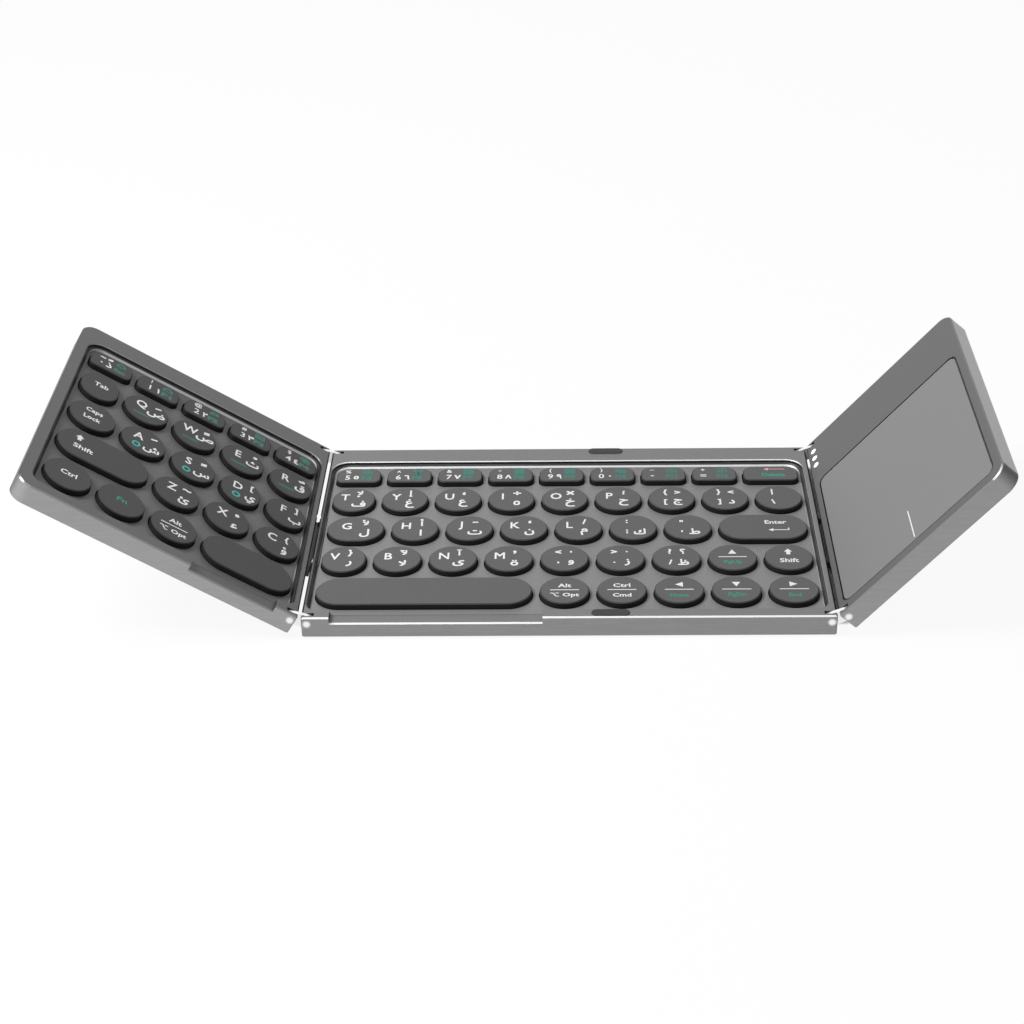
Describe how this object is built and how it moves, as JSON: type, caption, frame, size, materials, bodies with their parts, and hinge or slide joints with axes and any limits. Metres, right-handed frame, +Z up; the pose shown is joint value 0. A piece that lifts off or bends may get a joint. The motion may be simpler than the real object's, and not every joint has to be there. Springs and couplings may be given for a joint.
{
  "type": "folding keyboard",
  "caption": "Tri-fold wireless keyboard with round keys on two panels, a touchpad wing, and double-pivot pinned link hinges.",
  "frame": {"origin": "under the centre of the middle panel, on the surface its feet stand on", "axes": "+X along the middle panel towards the touchpad wing, +Y from the front edge to the back, +Z up"},
  "size_m": [0.2777, 0.098, 0.0545],
  "materials": {
    "frame_metal": "satin, brushed along the front and back faces",
    "deck_metal": "bead blasted",
    "cover_metal": "satin",
    "rubber_black": "matte",
    "silicone": "matte, translucent",
    "steel_bright": "polished",
    "screw_steel": "blackened",
    "switch_film": "film on a thin plate",
    "cable_film": "polyimide film",
    "pad_face": "fine matte",
    "board": "solder mask",
    "port_steel": "plated",
    "light_lens": "frosted",
    "battery_foil": "foil pouch",
    "key_plastic": "fine matte with printed legends"
  },
  "bodies": {
    "middle": {"middle_frame": "frame_metal", "middle_key_deck": "deck_metal", "middle_bottom_cover": "cover_metal", "middle_feet": "rubber_black", "middle_fold_bumpers": "rubber_black", "middle_hinge_pins": "steel_bright", "middle_switch_sheet": "switch_film", "middle_key_domes": "silicone", "middle_cover_screws": "screw_steel"},
    "left_links": {"left_link_plates": "steel_bright", "left_cable_bridge": "frame_metal", "left_flat_cable": "cable_film"},
    "left_wing": {"left_frame": "frame_metal", "left_key_deck": "deck_metal", "left_bottom_cover": "cover_metal", "left_feet": "rubber_black", "left_hinge_pins": "steel_bright", "left_switch_sheet": "switch_film", "left_key_domes": "silicone", "left_cover_screws": "screw_steel"},
    "right_links": {"right_link_plates": "steel_bright", "right_cable_bridge": "frame_metal", "right_flat_cable": "cable_film"},
    "right_wing": {"right_frame": "frame_metal", "right_bottom_cover": "cover_metal", "right_feet": "rubber_black", "right_hinge_pins": "steel_bright", "right_cover_screws": "screw_steel", "touchpad_switch": "port_steel", "indicator_lights": "light_lens", "battery": "battery_foil", "main_board": "board", "charging_port": "port_steel"},
    "touchpad": {"touchpad_plate": "pad_face", "touchpad_sensor_board": "board"},
    "left_number_keys": {"left_number_keys": "key_plastic"},
    "esc_key": {"esc_key": "key_plastic"},
    "left_upper_letter_keys": {"left_upper_letter_keys": "key_plastic"},
    "tab_key": {"tab_key": "key_plastic"},
    "left_home_letter_keys": {"left_home_letter_keys": "key_plastic"},
    "caps_lock_key": {"caps_lock_key": "key_plastic"},
    "left_lower_letter_keys": {"left_lower_letter_keys": "key_plastic"},
    "left_shift_key": {"left_shift_key": "key_plastic"},
    "left_space_key": {"left_space_key": "key_plastic"},
    "left_alt_key": {"left_alt_key": "key_plastic"},
    "fn_key": {"fn_key": "key_plastic"},
    "left_ctrl_key": {"left_ctrl_key": "key_plastic"},
    "middle_number_keys": {"middle_number_keys": "key_plastic"},
    "delete_key": {"delete_key": "key_plastic"},
    "middle_upper_letter_keys": {"middle_upper_letter_keys": "key_plastic"},
    "middle_home_letter_keys": {"middle_home_letter_keys": "key_plastic"},
    "enter_key": {"enter_key": "key_plastic"},
    "middle_lower_letter_keys": {"middle_lower_letter_keys": "key_plastic"},
    "up_arrow_key": {"up_arrow_key": "key_plastic"},
    "right_shift_key": {"right_shift_key": "key_plastic"},
    "middle_space_key": {"middle_space_key": "key_plastic"},
    "middle_alt_key": {"middle_alt_key": "key_plastic"},
    "middle_ctrl_key": {"middle_ctrl_key": "key_plastic"},
    "arrow_row_keys": {"arrow_row_keys": "key_plastic"}
  },
  "joints": [
    {"name": "left_link_hinge", "type": "hinge", "parent": "middle", "child": "left_links", "pos_m": [-0.0748, 0, 0.005], "axis": [0, 1, 0], "range_deg": [-16.8, 73.2]},
    {"name": "left_wing_hinge", "type": "hinge", "parent": "left_links", "child": "left_wing", "pos_m": [-0.07949, 0, 0.00642], "axis": [0, 1, 0], "range_deg": [-15.1, 74.9]},
    {"name": "right_link_hinge", "type": "hinge", "parent": "middle", "child": "right_links", "pos_m": [0.0748, 0, 0.005], "axis": [0, -1, 0], "range_deg": [-21.8, 68.2]},
    {"name": "right_wing_hinge", "type": "hinge", "parent": "right_links", "child": "right_wing", "pos_m": [0.07935, 0, 0.00682], "axis": [0, -1, 0], "range_deg": [-27.1, 62.9]},
    {"name": "touchpad_click", "type": "hinge", "parent": "right_wing", "child": "touchpad", "pos_m": [0.09811, 0.0245, 0.03], "axis": [0.6574, 0, 0.7536], "range_deg": [0, 0.33], "stiffness_Nm_per_rad": 8, "springref_deg": -0.11},
    {"name": "left_number_press", "type": "slide", "parent": "left_wing", "child": "left_number_keys", "axis": [-0.5284, 0, -0.849], "range_m": [0, 0.0012], "stiffness_N_per_m": 1600, "springref_m": -0.0003, "deforming": ["left_key_domes"]},
    {"name": "esc_press", "type": "slide", "parent": "left_wing", "child": "esc_key", "axis": [-0.5284, 0, -0.849], "range_m": [0, 0.0012], "stiffness_N_per_m": 400, "springref_m": -0.0003, "deforming": ["left_key_domes"]},
    {"name": "left_upper_letter_press", "type": "slide", "parent": "left_wing", "child": "left_upper_letter_keys", "axis": [-0.5284, 0, -0.849], "range_m": [0, 0.0012], "stiffness_N_per_m": 1600, "springref_m": -0.0003, "deforming": ["left_key_domes"]},
    {"name": "tab_press", "type": "slide", "parent": "left_wing", "child": "tab_key", "axis": [-0.5284, 0, -0.849], "range_m": [0, 0.0012], "stiffness_N_per_m": 400, "springref_m": -0.0003, "deforming": ["left_key_domes"]},
    {"name": "left_home_letter_press", "type": "slide", "parent": "left_wing", "child": "left_home_letter_keys", "axis": [-0.5284, 0, -0.849], "range_m": [0, 0.0012], "stiffness_N_per_m": 1600, "springref_m": -0.0003, "deforming": ["left_key_domes"]},
    {"name": "caps_lock_press", "type": "slide", "parent": "left_wing", "child": "caps_lock_key", "axis": [-0.5284, 0, -0.849], "range_m": [0, 0.0012], "stiffness_N_per_m": 400, "springref_m": -0.0003, "deforming": ["left_key_domes"]},
    {"name": "left_lower_letter_press", "type": "slide", "parent": "left_wing", "child": "left_lower_letter_keys", "axis": [-0.5284, 0, -0.849], "range_m": [0, 0.0012], "stiffness_N_per_m": 1200, "springref_m": -0.0003, "deforming": ["left_key_domes"]},
    {"name": "left_shift_press", "type": "slide", "parent": "left_wing", "child": "left_shift_key", "axis": [-0.5284, 0, -0.849], "range_m": [0, 0.0012], "stiffness_N_per_m": 400, "springref_m": -0.0003, "deforming": ["left_key_domes"]},
    {"name": "left_space_press", "type": "slide", "parent": "left_wing", "child": "left_space_key", "axis": [-0.5284, 0, -0.849], "range_m": [0, 0.0012], "stiffness_N_per_m": 400, "springref_m": -0.0003, "deforming": ["left_key_domes"]},
    {"name": "left_alt_press", "type": "slide", "parent": "left_wing", "child": "left_alt_key", "axis": [-0.5284, 0, -0.849], "range_m": [0, 0.0012], "stiffness_N_per_m": 400, "springref_m": -0.0003, "deforming": ["left_key_domes"]},
    {"name": "fn_press", "type": "slide", "parent": "left_wing", "child": "fn_key", "axis": [-0.5284, 0, -0.849], "range_m": [0, 0.0012], "stiffness_N_per_m": 400, "springref_m": -0.0003, "deforming": ["left_key_domes"]},
    {"name": "left_ctrl_press", "type": "slide", "parent": "left_wing", "child": "left_ctrl_key", "axis": [-0.5284, 0, -0.849], "range_m": [0, 0.0012], "stiffness_N_per_m": 400, "springref_m": -0.0003, "deforming": ["left_key_domes"]},
    {"name": "middle_number_press", "type": "slide", "parent": "middle", "child": "middle_number_keys", "axis": [0, 0, -1], "range_m": [0, 0.0012], "stiffness_N_per_m": 3200, "springref_m": -0.0003, "deforming": ["middle_key_domes"]},
    {"name": "delete_press", "type": "slide", "parent": "middle", "child": "delete_key", "axis": [0, 0, -1], "range_m": [0, 0.0012], "stiffness_N_per_m": 400, "springref_m": -0.0003, "deforming": ["middle_key_domes"]},
    {"name": "middle_upper_letter_press", "type": "slide", "parent": "middle", "child": "middle_upper_letter_keys", "axis": [0, 0, -1], "range_m": [0, 0.0012], "stiffness_N_per_m": 3600, "springref_m": -0.0003, "deforming": ["middle_key_domes"]},
    {"name": "middle_home_letter_press", "type": "slide", "parent": "middle", "child": "middle_home_letter_keys", "axis": [0, 0, -1], "range_m": [0, 0.0012], "stiffness_N_per_m": 2800, "springref_m": -0.0003, "deforming": ["middle_key_domes"]},
    {"name": "enter_press", "type": "slide", "parent": "middle", "child": "enter_key", "axis": [0, 0, -1], "range_m": [0, 0.0012], "stiffness_N_per_m": 400, "springref_m": -0.0003, "deforming": ["middle_key_domes"]},
    {"name": "middle_lower_letter_press", "type": "slide", "parent": "middle", "child": "middle_lower_letter_keys", "axis": [0, 0, -1], "range_m": [0, 0.0012], "stiffness_N_per_m": 2800, "springref_m": -0.0003, "deforming": ["middle_key_domes"]},
    {"name": "up_arrow_press", "type": "slide", "parent": "middle", "child": "up_arrow_key", "axis": [0, 0, -1], "range_m": [0, 0.0012], "stiffness_N_per_m": 400, "springref_m": -0.0003, "deforming": ["middle_key_domes"]},
    {"name": "right_shift_press", "type": "slide", "parent": "middle", "child": "right_shift_key", "axis": [0, 0, -1], "range_m": [0, 0.0012], "stiffness_N_per_m": 400, "springref_m": -0.0003, "deforming": ["middle_key_domes"]},
    {"name": "middle_space_press", "type": "slide", "parent": "middle", "child": "middle_space_key", "axis": [0, 0, -1], "range_m": [0, 0.0012], "stiffness_N_per_m": 400, "springref_m": -0.0003, "deforming": ["middle_key_domes"]},
    {"name": "middle_alt_press", "type": "slide", "parent": "middle", "child": "middle_alt_key", "axis": [0, 0, -1], "range_m": [0, 0.0012], "stiffness_N_per_m": 400, "springref_m": -0.0003, "deforming": ["middle_key_domes"]},
    {"name": "middle_ctrl_press", "type": "slide", "parent": "middle", "child": "middle_ctrl_key", "axis": [0, 0, -1], "range_m": [0, 0.0012], "stiffness_N_per_m": 400, "springref_m": -0.0003, "deforming": ["middle_key_domes"]},
    {"name": "arrow_row_press", "type": "slide", "parent": "middle", "child": "arrow_row_keys", "axis": [0, 0, -1], "range_m": [0, 0.0012], "stiffness_N_per_m": 1200, "springref_m": -0.0003, "deforming": ["middle_key_domes"]}
  ]
}
